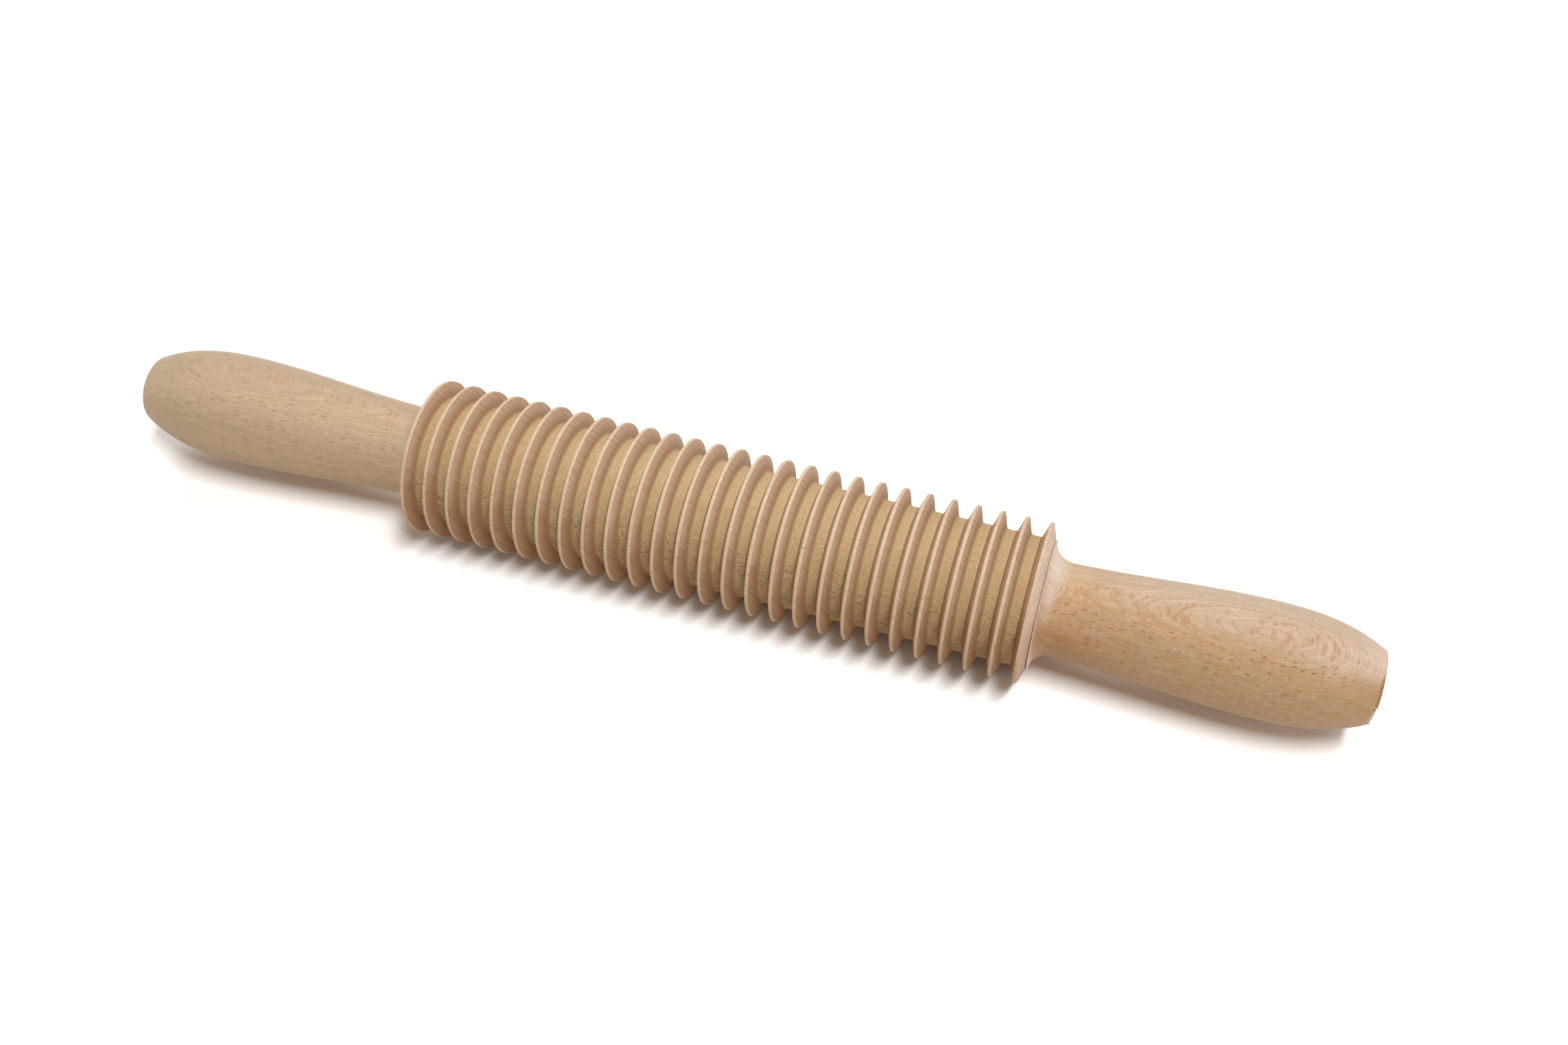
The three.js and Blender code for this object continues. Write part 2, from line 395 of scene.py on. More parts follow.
class Shader:
    """Builds the nodes of one material, or of the world."""

    def __init__(self, owner):
        owner.use_nodes = True
        self.owner = owner
        self.tree = owner.node_tree
        self.tree.nodes.clear()

    def add(self, kind, inputs=None, **settings):
        """A node with its settings, whose inputs are linked or given a value."""
        node = self.tree.nodes.new(kind)
        for key, value in settings.items():
            setattr(node, key, value)
        for key, value in (inputs or {}).items():
            if isinstance(value, bpy.types.NodeSocket):
                self.tree.links.new(value, node.inputs[key])
            else:
                node.inputs[key].default_value = value
        return node

    def math(self, operation, a, b=0.0, c=0.0):
        """One sum on up to three values."""
        return self.add("ShaderNodeMath", {0: a, 1: b, 2: c}, operation=operation).outputs[0]

    def times(self, first, *others):
        """The product of all the values."""
        product = first
        for other in others:
            product = self.math("MULTIPLY", product, other)
        return product

    def ramp(self, value, low, high, least=0.0, most=1.0):
        """Goes smoothly from least, at low, to most, at high."""
        inputs = {0: value, 1: low, 2: high, 3: least, 4: most}
        return self.add("ShaderNodeMapRange", inputs, interpolation_type="SMOOTHSTEP").outputs[0]

    def mix(self, share, under, over, blend="MIX"):
        """A share of one colour over another."""
        below, above, result = MIX_COLOUR
        inputs = {0: share, below: under, above: over}
        return self.add("ShaderNodeMix", inputs, data_type="RGBA", blend_type=blend).outputs[result]

    def mix_value(self, share, under, over):
        """A share of one value over another."""
        below, above, result = MIX_VALUE
        inputs = {0: share, below: under, above: over}
        return self.add("ShaderNodeMix", inputs, data_type="FLOAT").outputs[result]

    def shade(self, colour, amount):
        """Multiplies a colour by an amount."""
        grey = self.add("ShaderNodeCombineColor", {0: amount, 1: amount, 2: amount}).outputs[0]
        return self.mix(1.0, colour, grey, "MULTIPLY")

    def streaked(self, colour, value, span, depth):
        """Lightens a colour by a depth where a value is low, and darkens it where it is high."""
        return self.shade(colour, self.ramp(value, *span, 1 + depth, 1 - depth))

    def place(self, turn=0.0):
        """Place in the blank, in millimetres from the middle of the pin."""
        spot = self.add("ShaderNodeTexCoord").outputs["Object"]
        axis = (0, AXIS_HEIGHT * math.sin(turn), -AXIS_HEIGHT * math.cos(turn))
        scale = (1 / MM, 1 / MM, 1 / MM)
        inputs = {0: spot, "Location": axis, "Rotation": (turn, 0, 0), "Scale": scale}
        return self.add("ShaderNodeMapping", inputs).outputs[0]

    def facing(self, turn):
        """The way the surface faces in the blank."""
        normal = self.add("ShaderNodeTexCoord").outputs["Normal"]
        return self.add("ShaderNodeMapping", {0: normal, "Rotation": (turn, 0, 0)}).outputs[0]

    def split(self, vector):
        """The three parts of a vector."""
        return self.add("ShaderNodeSeparateXYZ", {0: vector}).outputs

    def wear(self):
        """How worn the mesh is at a point."""
        return self.add("ShaderNodeAttribute", attribute_name="wear").outputs["Fac"]

    def sized(self, place, size):
        """Place counted in cells of the given size along each axis."""
        cells = tuple(1 / length for length in size)
        return self.add("ShaderNodeVectorMath", {0: place, 1: cells}, operation="MULTIPLY").outputs[0]

    def noise(self, place, size, detail=2.0, roughness=0.5):
        """A smooth noise with cells of the given size."""
        inputs = {"Vector": self.sized(place, size), "Scale": 1.0}
        inputs["Detail"] = detail
        inputs["Roughness"] = roughness
        return self.add("ShaderNodeTexNoise", inputs).outputs[0]

    def varied(self, place, texture):
        """A noise given as its cell size, the span of it that counts and the amounts it goes between."""
        size, span, amounts = texture
        return self.ramp(self.noise(place, size), *span, *amounts)

    def warped(self, place, size, reach):
        """Place pushed about by a noise, up to a reach along each axis."""
        inputs = {"Vector": self.sized(place, size), "Scale": 1.0, "Detail": WARP_DETAIL}
        push = self.add("ShaderNodeTexNoise", inputs).outputs["Color"]
        inputs = {0: push, 1: reach, 2: place}
        return self.add("ShaderNodeVectorMath", inputs, operation="MULTIPLY_ADD").outputs[0]

    def banded(self, value, pitch, wander, sway, detail):
        """Uneven bands along a value, which sway by a noise."""
        swayed = self.math("ADD", value, self.times(wander, sway))
        counted = self.math("DIVIDE", swayed, pitch)
        inputs = {"W": counted, "Scale": 1.0, "Detail": detail, "Roughness": BAND_ROUGHNESS}
        return self.add("ShaderNodeTexNoise", inputs, noise_dimensions="1D").outputs[0]

    def cells(self, place, size, edge, core, share):
        """Scattered lens-shaped cells: 1 inside a chosen cell, 0 outside."""
        inputs = {"Vector": self.sized(place, size), "Scale": 1.0, "Randomness": 1.0}
        found = self.add("ShaderNodeTexVoronoi", inputs)
        pick = self.add("ShaderNodeSeparateColor", {0: found.outputs["Color"]}).outputs[0]
        inside = self.ramp(found.outputs["Distance"], edge, core)
        return self.times(inside, self.ramp(pick, 1 - share, 1 - share * CELL_FULL))

    def bump(self, height, depth, below=None):
        """Raises the surface by a height from 0 to 1 times a depth in millimetres."""
        inputs = {"Strength": 1.0, "Distance": depth * MM, "Height": height}
        if below is not None:
            inputs["Normal"] = below
        return self.add("ShaderNodeBump", inputs).outputs[0]

    def finish(self, colour, roughness, specular, bump, metallic=0.0, fuzz=0.0):
        """Ends a material with its surface."""
        inputs = {"Base Color": colour, "Roughness": roughness, "Metallic": metallic}
        inputs["Specular IOR Level"] = specular
        inputs["Sheen Weight"] = fuzz
        inputs["Sheen Roughness"] = FUZZ_ROUGHNESS
        inputs["Sheen Tint"] = FUZZ_TONE
        inputs["Normal"] = bump
        surface = self.add("ShaderNodeBsdfPrincipled", inputs)
        self.add("ShaderNodeOutputMaterial", {0: surface.outputs[0]})
        return self.owner


# Woods: how the blank is turned, how strongly its dashes, figure and fibres show, its rays as cells,
# where the back high on the blank is clear of dashes, its tones, the top and low end ones partly painted
# light
# and shade, and the tints multiplied in: painted shade under the neck and foot, painted light and shade
# behind the flare
RIGHT_WOOD = {
    "turn": math.radians(-12),
    "dashes": 0.9,
    "figure": 1.0,
    "grain": 0.06,
    "rays": ((2.3, 10.0, 0.2), 0.4, 0.14, 0.5),
    "clear": (0.75, 1.0, 0.0, 0.75),
    "gold": tone(193, 157, 116),
    # The top tone, partly the wood's own and partly painted light
    "top_tone_and_painted_light": tone(207, 182, 157),
    # The end grain's top and low end tones are set apart by painted light and shade
    "end": tone(227, 203, 187),
    "low_end_painted_shade_and_light": tone(189, 153, 115),
    "dash": tone(138, 88, 46),
    "flake": tone(190, 140, 96),
    # Tints multiplied in: painted shade under the neck and foot, painted light behind the flare
    "neck_painted_shade": (0.92, 0.82, 0.7, 1.0),
    "foot_painted_shade": (0.9, 0.88, 0.86, 1.0),
    "flare_painted_light_and_shade": (1.12, 1.2, 1.28, 1.0),
}
LEFT_WOOD = {
    "turn": math.radians(4),
    "dashes": 0.75,
    "figure": 1.0,
    "grain": 0.06,
    "rays": ((3.4, 10.0, 0.2), 0.4, 0.14, 0.5),
    "clear": (0.45, 0.85, 0.0, 0.75),
    "gold": tone(203, 177, 145),
    # The top tone, darker than the gold here, partly painted shade
    "top_tone_and_painted_light": tone(196, 171, 142),
    # The end grain's top and low end tones are set apart by painted light and shade
    "end": tone(190, 170, 141),
    "low_end_painted_shade_and_light": tone(207, 182, 152),
    "dash": tone(138, 94, 58),
    "flake": tone(192, 152, 114),
    # Tints multiplied in: faint painted shade under the neck, none under the foot, painted shade behind
    # the flare
    "neck_painted_shade": (0.99, 0.97, 0.94, 1.0),
    "foot_painted_shade": WHITE,
    "flare_painted_light_and_shade": (0.92, 0.92, 0.92, 1.0),
}
ROLLER_WOOD = {
    "turn": math.radians(-27),
    "dashes": 0.3,
    "figure": 0.4,
    "grain": 0.11,
    "rays": ((2.4, 10.0, 0.2), 0.4, 0.14, 0.4),
    "clear": (0.75, 1.0, 0.0, 0.75),
    "gold": tone(192, 165, 122),
    # The top tone, partly painted light
    "top_tone_and_painted_light": tone(195, 168, 126),
    # The end grain's top and low end tones are set apart by painted light and shade
    "end": tone(216, 183, 156),
    "low_end_painted_shade_and_light": tone(186, 149, 118),
    "dash": tone(128, 94, 60),
    "flake": tone(186, 142, 94),
}
RIM_CREAM = tone(230, 206, 176)
# Painted shade: the brown that darkens the flanks towards the groove roots
ROOT_PAINTED_SHADE = tone(166, 132, 94)
# Painted light: the pale pink laid on the end discs' outer flanks
END_PINK_PAINTED_LIGHT = tone(243, 221, 210)
TORN_DARK = tone(122, 84, 46)
# Pale lifted fibres on the torn floors, partly a painted highlight
TORN_PALE_HIGHLIGHT = tone(222, 196, 156)
WORN_BROWN = tone(164, 114, 62)
# Makes the roller a little darker and warmer towards both ends
ENDS_DARKER = (0.965, 0.94, 0.92, 1.0)

# Rings stand across Y in a blank, and rays lie flat in it, as flakes on top and as dashes in front
RING_PITCH = 0.85
RING_SWAY = 2.0
RING_DETAIL = 1.0
LAYER_PITCH = 0.3
LAYER_SWAY = 0.35
LAYER_DETAIL = 0.6
LINE_PITCH = 0.19
LINE_WOBBLE = 0.09
LINE_SHARE = 0.75
HALF_LINE = 0.5

# Sizes of noises, in millimetres along the blank and across it
WANDER_SIZE = (14.0, 7.0, 7.0)
DRIFT_SIZE = (30.0, 12.0, 12.0)
FIBRE_SIZE = (0.7, 0.2, 0.2)
STREAK_SIZE = (8.0, 2.0, 0.7)
WOBBLE_SIZE = (2.5, 2.0, 2.0)
WARP_SIZE = (1.2, 3.0, 0.8)
WARP_REACH = (0.6, 0.0, 0.09)
TEAR_SIZE = (0.9, 0.34, 0.26)
TEAR_DETAIL = 2.0
TEAR_ROUGHNESS = 0.6

# Noises as a size, the span of the noise that counts and the amounts it goes between
NOISE_SPAN = (0.35, 0.65)
WIDE_SPAN = (0.3, 0.7)
BROAD = ((60.0, 14.0, 14.0), WIDE_SPAN, (-0.05, 0.05))
MOTTLE = ((3.0, 1.6, 1.6), NOISE_SPAN, (0.0, 0.14))
SPECKS = ((0.4, 0.32, 0.32), NOISE_SPAN, (0.95, 1.05))
FLECKS = ((0.5, 0.7, 0.5), (0.35, 0.58), (0.25, 1.0))
BRUSH = ((0.3, 3.0, 1.0), (0.35, 0.6), (0.15, 0.9))
RAGGED = ((0.35, 0.35, 0.35), WIDE_SPAN, (-0.15, 0.15))
RIM_GRAIN = ((2.0, 0.35, 0.35), NOISE_SPAN, (0.88, 1.04))
FLANK_GRAIN = ((3.0, 0.6, 3.5), NOISE_SPAN, (1.05, 0.91))
PATCHES = ((5.0, 6.0, 6.0), (0.34, 0.56), (0.0, 1.0))

# Cells as a size, the edge and core of a cell, and the share of cells that show
PORES = ((0.8, 3.0, 0.12), 0.4, 0.2, 0.3)
FLAKES = ((1.7, 4.5, 0.4), 0.54, 0.26, 0.95)
TICKS = ((14.0, 8.0, 0.3), 0.3, 0.1, 0.5)
PORE_SHARE = 0.3
TICK_SHARE = 0.5

# Ramps of the wood, from low to high, some with the least and most that they give
PALE_LEAN = math.radians(30)
PALE_SPAN = (0.68, 1.1)
PALE_RISE = (SHOULDER_PLACE, SHOULDER_PLACE + 70.0, -0.15, 0.15)
TOP_SPAN = (0.1, 0.75)
TOP_WANDER = (0.3, 0.7, -0.15, 0.15)
DOME_SPAN = (SHOULDER_PLACE + 64.0, SHOULDER_PLACE + 77.0)
DOME_DROP = 0.3
DOME_FACING = (0.1, 0.6)
END_FACING = (0.2, 0.85)
SAWN_FACING = (0.97, 0.99)
SAWN_TOP = 0.6
RAY_FACING = (0.28, 0.7)
CREST_FACING = (0.93, 0.985)
LINE_FACING = (0.74, 0.93)
LINE_EDGE = (0.2, 0.05)
LINE_LAYERS = (0.38, 0.62, 0.2, 1.0)
LAYER_SPAN = (0.38, 0.62)
LAYER_SHADE = 0.03
STREAK_SHADE = 0.04
RING_SHADE = (0.36, 0.66, 1.02, 0.97)
END_RING_SHADE = (0.36, 0.66, 1.06, 0.9)
END_FIBRE_SHADE = (0.25, 0.75, 0.95, 1.05)
DASH_FIBRES = (0.35, 0.6, 0.75, 1.0)
FLAKE_SINK = 0.3
RAY_SINK = 0.35
GRAIN_DEPTH = 0.035


class Beech:
    """A piece's wood: where each point lies in its blank, and the grain that shows there."""

    def __init__(self, name, wood):
        shader = Shader(bpy.data.materials.new(name))
        self.shader = shader
        self.wood = wood
        self.place = shader.place(wood["turn"])
        self.spot = shader.split(self.place)
        normal = shader.split(shader.facing(wood["turn"]))
        self.along = shader.math("ABSOLUTE", normal[0])
        self.up = shader.math("ABSOLUTE", normal[2])
        self.out = shader.math("ABSOLUTE", self.spot[0])
        squares = [shader.times(self.spot[axis], self.spot[axis]) for axis in (1, 2)]
        self.radius = shader.math("SQRT", shader.math("ADD", *squares))
        leaning = shader.split(shader.place(wood["turn"] + PALE_LEAN))
        self.lift = shader.math("DIVIDE", leaning[2], self.radius)

        self.wander = shader.noise(self.place, WANDER_SIZE)
        self.drift = shader.noise(self.place, DRIFT_SIZE)
        self.fibres = shader.noise(self.place, FIBRE_SIZE)
        ring_sway = RING_SWAY * wood["figure"]
        self.rings = shader.banded(self.spot[1], RING_PITCH, self.wander, ring_sway, RING_DETAIL)
        self.layers = shader.banded(self.spot[2], LAYER_PITCH, self.drift, LAYER_SWAY, LAYER_DETAIL)
        self.dome = shader.ramp(self.out, *DOME_SPAN)
        # The share of the top, over which painted light pales the wood (and on the left darkens it)
        top = shader.math("MULTIPLY_ADD", self.dome, -DOME_DROP, self.lift)
        top = shader.math("ADD", top, shader.ramp(self.wander, *TOP_WANDER))
        self.top = shader.ramp(top, *TOP_SPAN)
        self.lines = self.growth_lines()
        self.dash, self.flake = self.rays()

    def share(self, axis):
        """How far a point lies out along an axis, as a share of its radius."""
        return self.shader.math("DIVIDE", self.spot[axis], self.radius)

    def growth_lines(self):
        """Fine lines along the layers, which show as nested arcs where the surface lies flat on them."""
        shader = self.shader
        swayed = shader.math("MULTIPLY_ADD", self.drift, LAYER_SWAY, self.spot[2])
        swayed = shader.math("MULTIPLY_ADD", shader.noise(self.place, WOBBLE_SIZE), LINE_WOBBLE, swayed)
        off_line = shader.math("PINGPONG", shader.math("DIVIDE", swayed, LINE_PITCH), HALF_LINE)
        lines = shader.times(shader.ramp(off_line, *LINE_EDGE), shader.ramp(self.layers, *LINE_LAYERS))
        most = LINE_SHARE * self.wood["figure"]
        flat = shader.ramp(self.up, *LINE_FACING, 0.0, most)
        return shader.times(lines, shader.varied(self.place, FLECKS), flat)

    def rays(self):
        """Dashes in front and flakes on the crest, which fade where the surface turns to end grain."""
        shader = self.shader
        crest = shader.ramp(self.up, *CREST_FACING)
        clear = shader.ramp(self.lift, *self.wood["clear"])
        bare = shader.math("SUBTRACT", 1.0, shader.math("MAXIMUM", crest, clear))
        faded = shader.ramp(self.along, *RAY_FACING, self.wood["dashes"], 0.0)
        dash = shader.cells(shader.warped(self.place, WARP_SIZE, WARP_REACH), *self.wood["rays"])
        dash = shader.times(dash, shader.ramp(self.fibres, *DASH_FIBRES))
        pores = shader.times(shader.cells(self.place, *PORES), PORE_SHARE)
        dash = shader.times(shader.math("MAXIMUM", dash, pores), bare, faded)
        flake = shader.times(shader.cells(self.place, *FLAKES), shader.varied(self.place, BRUSH))
        return dash, shader.times(flake, crest, faded)

    def long_grain(self):
        """Gold wood, paler towards the top partly by painted light, and towards the far end, with its
        rings, fibres and rays.
        """
        shader = self.shader
        wood = self.wood
        figure = wood["figure"]
        # Paler towards the top partly by painted light
        paler = shader.math("ADD", self.lift, shader.times(self.along, self.top))
        paler = shader.math("ADD", paler, shader.ramp(self.out, *PALE_RISE))
        paler = shader.math("ADD", paler, shader.varied(self.place, BROAD))
        colour = shader.mix(shader.ramp(paler, *PALE_SPAN), wood["gold"], wood["top_tone_and_painted_light"])
        colour = shader.mix(shader.varied(self.place, MOTTLE), colour, wood["end"])
        colour = shader.shade(colour, shader.ramp(self.rings, *RING_SHADE))
        colour = shader.streaked(colour, self.layers, LAYER_SPAN, LAYER_SHADE * figure)
        streaks = shader.noise(self.place, STREAK_SIZE)
        colour = shader.streaked(colour, streaks, NOISE_SPAN, STREAK_SHADE * figure)
        colour = shader.streaked(colour, self.fibres, NOISE_SPAN, -wood["grain"])
        colour = shader.shade(colour, shader.varied(self.place, SPECKS))
        colour = shader.mix(self.lines, colour, wood["flake"])
        colour = shader.mix(self.flake, colour, wood["flake"])
        return shader.mix(self.dash, colour, wood["dash"])

    def end_grain(self):
        """Wood cut across: its top and lower tones set apart by painted light and shade, and even on a
        sawn face.
        """
        shader = self.shader
        wood = self.wood
        # Share of the top tone, by which painted light and shade set the top apart from the low end
        top_tone_and_painted_light = shader.mix_value(shader.ramp(self.along, *SAWN_FACING), self.top, SAWN_TOP)
        cut = shader.mix(top_tone_and_painted_light, wood["low_end_painted_shade_and_light"], wood["end"])
        cut = shader.shade(cut, shader.ramp(self.rings, *END_RING_SHADE))
        cut = shader.shade(cut, shader.ramp(self.fibres, *END_FIBRE_SHADE))
        return shader.mix(self.lines, cut, wood["flake"])

    def across(self):
        """How far the surface is cut across the grain, counted sooner on the dome of a handle."""
        shader = self.shader
        dome = shader.times(self.dome, shader.ramp(self.along, *DOME_FACING))
        return shader.math("MAXIMUM", shader.ramp(self.along, *END_FACING), dome)

    def height(self):
        """Raised fibres and sunken rays."""
        shader = self.shader
        rays = shader.math("MAXIMUM", self.dash, shader.times(self.flake, FLAKE_SINK))
        return shader.math("SUBTRACT", self.fibres, shader.times(rays, RAY_SINK))


# Handles: spans along the handle and round it for painted light and shade, then the worn edge and the
# finish
NECK_SPAN = (SHOULDER_PLACE + 30.0, SHOULDER_PLACE + 6.0)
FLARE_SPAN = (SHOULDER_PLACE + 14.0, SHOULDER_PLACE + 1.0)
SHADE_UNDER_SPAN = (0.85, 0.4)
LIGHT_SHADE_BEHIND_SPAN = (-0.15, 0.35)
WORN_SPAN = (0.42, 0.78, 0.0, 0.95)
HANDLE_ROUGHNESS = (0.2, 0.8, 0.7, 0.58)
HANDLE_SPECULAR = 0.35
HANDLE_FUZZ = 0.55


def handle_beech(name, wood):
    """Sanded beech with painted shade along its underside near the shoulder, painted light and shade on
    the back of its cove, and its worn edges brown.
    """
    beech = Beech(name, wood)
    shader = beech.shader
    colour = shader.mix(beech.across(), beech.long_grain(), beech.end_grain())
    neck_painted_shade = shader.ramp(beech.out, *NECK_SPAN)
    flare_painted_light_and_shade = shader.ramp(beech.out, *FLARE_SPAN)
    under = shader.ramp(beech.share(2), *SHADE_UNDER_SPAN)
    light_shade_behind = shader.ramp(beech.share(1), *LIGHT_SHADE_BEHIND_SPAN)
    # Painted shade under the neck and foot; painted light behind the right flare and painted shade
    # behind the left
    for painted_tint, reach, side in (("neck_painted_shade", neck_painted_shade, under), ("foot_painted_shade", flare_painted_light_and_shade, under), ("flare_painted_light_and_shade", flare_painted_light_and_shade, light_shade_behind)):
        colour = shader.mix(shader.times(reach, side), colour, wood[painted_tint], "MULTIPLY")
    worn = shader.math("ADD", shader.wear(), shader.varied(beech.place, RAGGED))
    colour = shader.mix(shader.ramp(worn, *WORN_SPAN), colour, WORN_BROWN)
    height = beech.height()
    roughness = shader.ramp(height, *HANDLE_ROUGHNESS)
    bump = shader.bump(height, GRAIN_DEPTH)
    return shader.finish(colour, roughness, HANDLE_SPECULAR, bump, fuzz=HANDLE_FUZZ)


# Roller: spans by radius, along it and round it, some for painted shade and light, then shares of what
# is laid on and the finish
ROOT_SHADE_SPAN = (CORE_RADIUS + 3.4, CORE_RADIUS + 0.2, 0.0, 0.8)
RIM_SPAN = (DISC_RADIUS - 0.2, DISC_RADIUS - 0.06)
GROOVE_SPAN = (CORE_RADIUS + 0.5, CORE_RADIUS + 0.1)
OUTER_LIGHT_SPAN = (ROLLER_HALF - 1.5, ROLLER_HALF - 1.2)
ENDS_DARKER_SPAN = (20.0, ROLLER_HALF)
FRONT_SPAN = (-0.2, -0.75)
TEAR_SPAN = (0.53, 0.68)
LIFT_SPAN = (0.44, 0.3)
OUTER_LIGHT_FADE = 0.4
RIM_SHARE = 0.9
TEAR_SHARE = 0.7
LIFT_SHARE = 0.6
BRUISE_SHARE = 0.5
TEAR_DEPTH = 0.12
ROLLER_ROUGHNESS = (0.0, 1.0, 0.66, 0.78)
ROLLER_SPECULAR = 0.3


def roller_beech(name):
    """Turned beech: cream rims, pinkish flanks paled by painted light on the end discs, roots darkened
    by painted shade, torn fibres on the groove floors with partly painted highlights, and darker towards
    both ends.
    """
    beech = Beech(name, ROLLER_WOOD)
    shader = beech.shader
    front = shader.ramp(beech.share(1), *FRONT_SPAN)
    # Painted shade darkens the flanks towards their roots
    cut = shader.mix(shader.ramp(beech.radius, *ROOT_SHADE_SPAN), beech.end_grain(), ROOT_PAINTED_SHADE)
    # Painted light: the end discs' outer flanks made pale pink, less so towards the front
    lit_pink = shader.shade(END_PINK_PAINTED_LIGHT, shader.varied(beech.place, FLANK_GRAIN))
    lit_outer = shader.ramp(beech.out, *OUTER_LIGHT_SPAN)
    lit_outer = shader.times(lit_outer, shader.math("MULTIPLY_ADD", front, -OUTER_LIGHT_FADE, 1.0))
    cut = shader.mix(lit_outer, cut, lit_pink)
    colour = shader.mix(beech.across(), beech.long_grain(), cut)

    rim = shader.ramp(beech.radius, *RIM_SPAN)
    cream = shader.shade(RIM_CREAM, shader.varied(beech.place, RIM_GRAIN))
    colour = shader.mix(shader.times(rim, RIM_SHARE), colour, cream)
    ticks = shader.times(shader.cells(beech.place, *TICKS), shader.times(rim, TICK_SHARE))
    colour = shader.mix(ticks, colour, TORN_DARK)
    # Darker towards both ends
    colour = shader.mix(shader.ramp(beech.out, *ENDS_DARKER_SPAN), colour, ENDS_DARKER, "MULTIPLY")

    groove = shader.ramp(beech.radius, *GROOVE_SPAN)
    torn = shader.times(groove, shader.times(front, shader.varied(beech.place, PATCHES)))
    ragged = shader.noise(beech.place, TEAR_SIZE, TEAR_DETAIL, TEAR_ROUGHNESS)
    tears = shader.times(shader.ramp(ragged, *TEAR_SPAN), torn)
    # Pale lifted fibres, partly a painted highlight on them
    lifted_highlight = shader.times(shader.ramp(ragged, *LIFT_SPAN), torn)
    colour = shader.mix(shader.times(tears, TEAR_SHARE), colour, TORN_DARK)
    colour = shader.mix(shader.times(lifted_highlight, LIFT_SHARE), colour, TORN_PALE_HIGHLIGHT)
    colour = shader.mix(shader.times(shader.wear(), BRUISE_SHARE), colour, WORN_BROWN)
    roughness = shader.ramp(torn, *ROLLER_ROUGHNESS)
    fine = shader.bump(beech.height(), GRAIN_DEPTH)
    bump = shader.bump(shader.math("SUBTRACT", 1.0, tears), TEAR_DEPTH, fine)
    return shader.finish(colour, roughness, ROLLER_SPECULAR, bump)


# Steel and nylon
STEEL_DARK = tone(176, 178, 180)
STEEL_LIGHT = tone(200, 201, 203)
STEEL_LINES = (0.12, 2.5, 2.5)
STEEL_BLOTCH = (9.0, 4.0, 4.0)
STEEL_ROUGHNESS = (0.3, 0.7, 0.28, 0.44)
STEEL_SPECULAR = 0.5
STEEL_DEPTH = 0.01
NYLON_DARK = tone(226, 222, 208)
NYLON_LIGHT = tone(238, 235, 226)
NYLON_MOTTLE = (3.0, 3.0, 3.0)
NYLON_GRAIN = (0.25, 0.25, 0.25)
NYLON_ROUGHNESS = (0.3, 0.7, 0.42, 0.56)
NYLON_SPECULAR = 0.45
NYLON_DEPTH = 0.015
FINE_DETAIL = 3.0


def drawn_steel(name):
    """Plain drawn rod and pressed washers, with fine lines round them."""
    shader = Shader(bpy.data.materials.new(name))
    place = shader.place()
    lines = shader.noise(place, STEEL_LINES, FINE_DETAIL)
    colour = shader.mix(shader.noise(place, STEEL_BLOTCH), STEEL_DARK, STEEL_LIGHT)
    roughness = shader.ramp(lines, *STEEL_ROUGHNESS)
    bump = shader.bump(lines, STEEL_DEPTH)
    return shader.finish(colour, roughness, STEEL_SPECULAR, bump, metallic=1.0)


def moulded_nylon(name):
    """Natural nylon with a faintly mottled, satin skin."""
    shader = Shader(bpy.data.materials.new(name))
    place = shader.place()
    grain = shader.noise(place, NYLON_GRAIN)
    colour = shader.mix(shader.noise(place, NYLON_MOTTLE, FINE_DETAIL), NYLON_DARK, NYLON_LIGHT)
    roughness = shader.ramp(grain, *NYLON_ROUGHNESS)
    bump = shader.bump(grain, NYLON_DEPTH)
    return shader.finish(colour, roughness, NYLON_SPECULAR, bump)


# Floor and lamps in metres and watts, camera in millimetres
FLOOR_HALF = 3.0
FLOOR_BOUNCE = (0.7, 0.59, 0.47, 1.0)
FLOOR_SEEN = (1.38, 1.38, 1.38, 1.0)
FLOOR_NEAR = 0.26
FLOOR_FAR = 0.5
WORLD_FILL = (0.13, 0.11, 0.09, 1.0)
LAMPS = (
    ("key_right", (0.43, -0.37, 1.47), (0.28, 0.62), 16.6),
    ("box_behind", (-0.3, 0.6, 0.85), (0.8, 0.5), 4.2),
    ("side_right", (1.3, -0.3, 0.6), (0.7, 0.7), 1.5),
    ("side_left", (-1.3, -0.4, 0.6), (0.7, 0.7), 1.1),
)
CAMERA_PLACE = (95.49, -251.56, 342.24)
CAMERA_TARGET = (13.7, 5.85, 20.0)
CAMERA_LENS = 38.32
CAMERA_SENSOR = 36.0
CAMERA_CLIP = 0.01


def seen_directly(shader):
    """1 for rays that show a surface, straight or by reflection, and 0 for rays that light one."""
    path = shader.add("ShaderNodeLightPath").outputs
    mirrored = shader.math("MAXIMUM", path["Is Glossy Ray"], path["Is Transmission Ray"])
    return shader.math("MAXIMUM", path["Is Camera Ray"], mirrored)


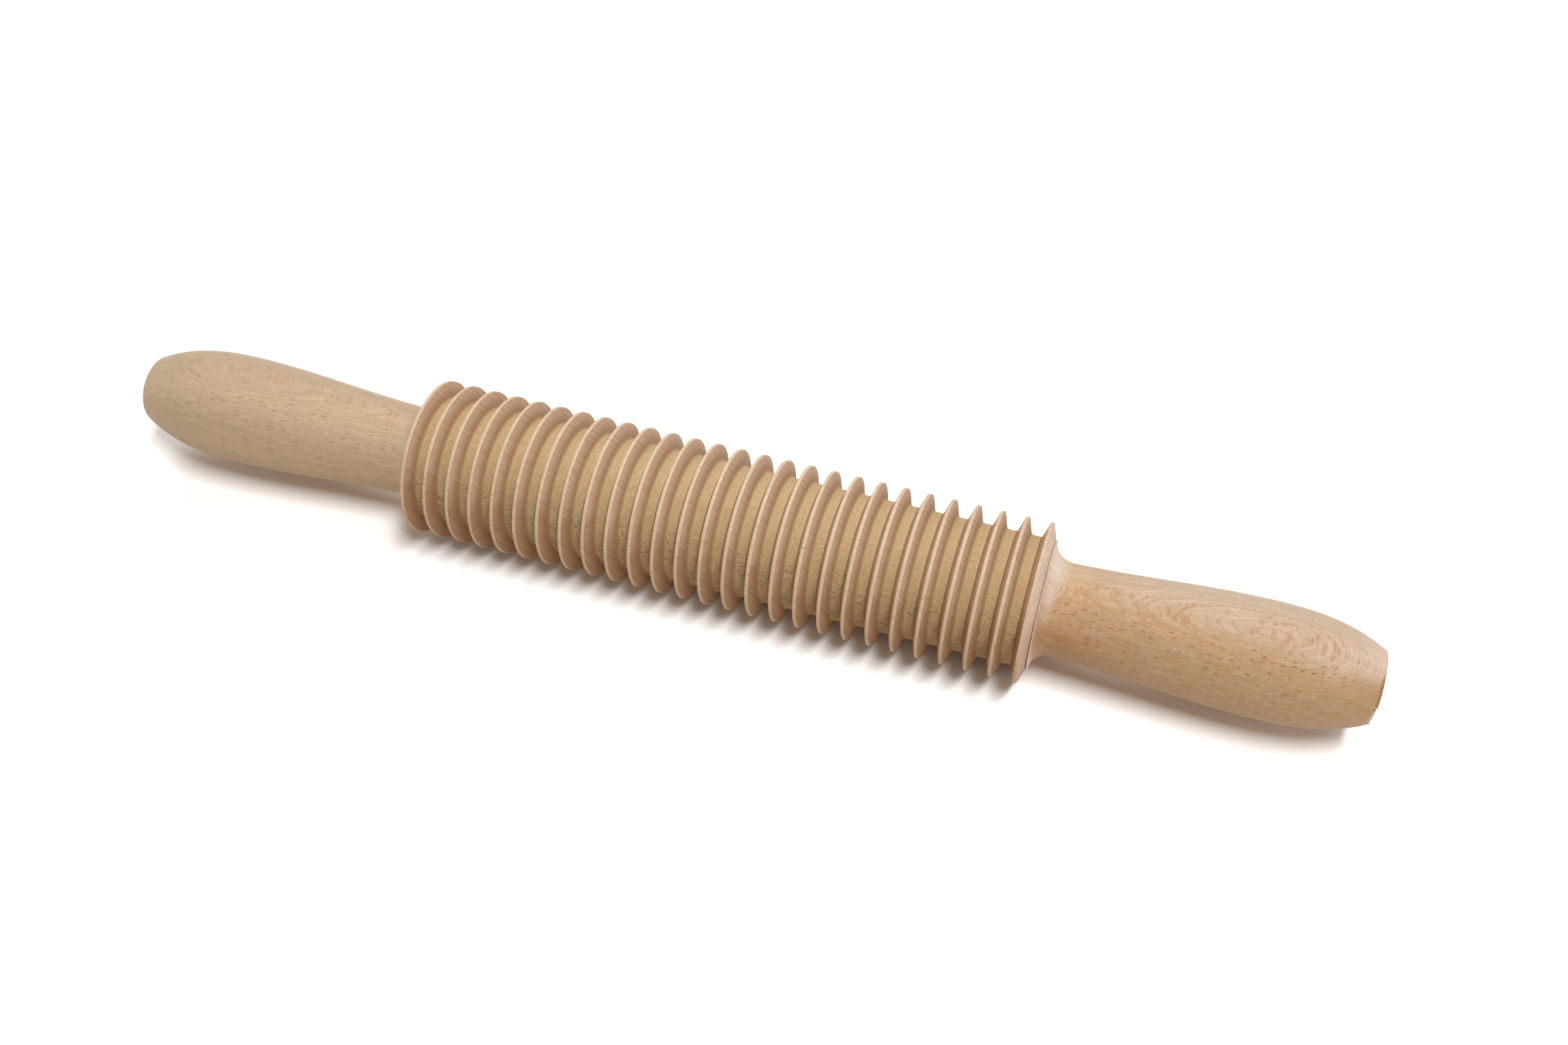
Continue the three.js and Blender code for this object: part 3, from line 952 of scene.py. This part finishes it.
def lay_floor():
    """A wide white floor that keeps the pin's shadow and fades into the white round it."""
    corners = [(x * FLOOR_HALF, y * FLOOR_HALF, 0) for x, y in ((-1, -1), (1, -1), (1, 1), (-1, 1))]
    mesh = bpy.data.meshes.new("floor")
    mesh.from_pydata(corners, [], [(0, 1, 2, 3)])
    floor = bpy.data.objects.new("floor", mesh)
    bpy.context.scene.collection.objects.link(floor)
    shader = Shader(bpy.data.materials.new("white_floor"))
    seen = seen_directly(shader)
    paper = shader.add("ShaderNodeBsdfDiffuse", {"Color": shader.mix(seen, FLOOR_BOUNCE, FLOOR_SEEN)})
    glow = shader.add("ShaderNodeEmission", {"Color": WHITE, "Strength": 1.0})
    spot = shader.add("ShaderNodeTexCoord").outputs["Object"]
    away = shader.add("ShaderNodeVectorMath", {0: spot}, operation="LENGTH").outputs["Value"]
    far = shader.times(seen, shader.ramp(away, FLOOR_NEAR, FLOOR_FAR))
    both = shader.add("ShaderNodeMixShader", {0: far, 1: paper.outputs[0], 2: glow.outputs[0]})
    shader.add("ShaderNodeOutputMaterial", {0: both.outputs[0]})
    mesh.materials.append(shader.owner)


def light_world():
    """White where it is seen, a soft fill where it lights."""
    shader = Shader(bpy.data.worlds.new("studio"))
    light = shader.mix(seen_directly(shader), WORLD_FILL, WHITE)
    sky = shader.add("ShaderNodeBackground", {"Color": light, "Strength": 1.0})
    shader.add("ShaderNodeOutputWorld", {0: sky.outputs[0]})
    bpy.context.scene.world = shader.owner


def hang_lamp(name, place, size, power):
    """A soft box aimed at the floor under the pin, with its second side lying across the pin."""
    data = bpy.data.lights.new(name, "AREA")
    data.shape = "RECTANGLE"
    data.size, data.size_y = size
    data.energy = power
    lamp = bpy.data.objects.new(name, data)
    lamp.location = place
    back = Vector(place).normalized()
    along = Vector((0, 1, 0)).cross(back).normalized()
    lamp.rotation_euler = Matrix((along, back.cross(along), back)).transposed().to_euler()
    bpy.context.scene.collection.objects.link(lamp)


def set_camera():
    """Stands where the photograph was taken from."""
    data = bpy.data.cameras.new("camera")
    data.lens = CAMERA_LENS
    data.sensor_fit = "HORIZONTAL"
    data.sensor_width = CAMERA_SENSOR
    data.clip_start = CAMERA_CLIP
    camera = bpy.data.objects.new("camera", data)
    camera.location = Vector(CAMERA_PLACE) * MM
    aim = (Vector(CAMERA_TARGET) - Vector(CAMERA_PLACE)).to_track_quat("-Z", "Y")
    camera.rotation_euler = aim.to_euler()
    bpy.context.scene.collection.objects.link(camera)
    bpy.context.scene.camera = camera


left_wood = handle_beech("left_handle_beech", LEFT_WOOD)
right_wood = handle_beech("right_handle_beech", RIGHT_WOOD)
steel = drawn_steel("drawn_steel")
nylon = moulded_nylon("moulded_nylon")

roller = turned("ridged_roller_turned", roller_profile(), ROLLER_STEPS, nicked)
dress(roller, "roller", "ridged_roller", roller_beech("roller_beech"))
rod = turned("axle_rod", axle_profile(), SMALL_STEPS)
dress(rod, "handle_frame", "axle", steel)
for side, end, shape, wood in ((-1, "left", None, left_wood), (1, "right", worn_end, right_wood)):
    grip = turned(f"{end}_handle_turned", handle_profile(side), HANDLE_STEPS, shape)
    dress(grip, "handle_frame", f"{end}_handle", wood)
    sleeve = turned(f"{end}_bush_moulded", bush_profile(side), SMALL_STEPS)
    dress(sleeve, "roller", f"{end}_bush", nylon)
    ring = turned(f"{end}_washer_pressed", washer_profile(side), SMALL_STEPS)
    dress(ring, "handle_frame", f"{end}_washer", steel)

lay_floor()
light_world()
for lamp in LAMPS:
    hang_lamp(*lamp)
set_camera()
bpy.context.scene.view_settings.view_transform = "Standard"
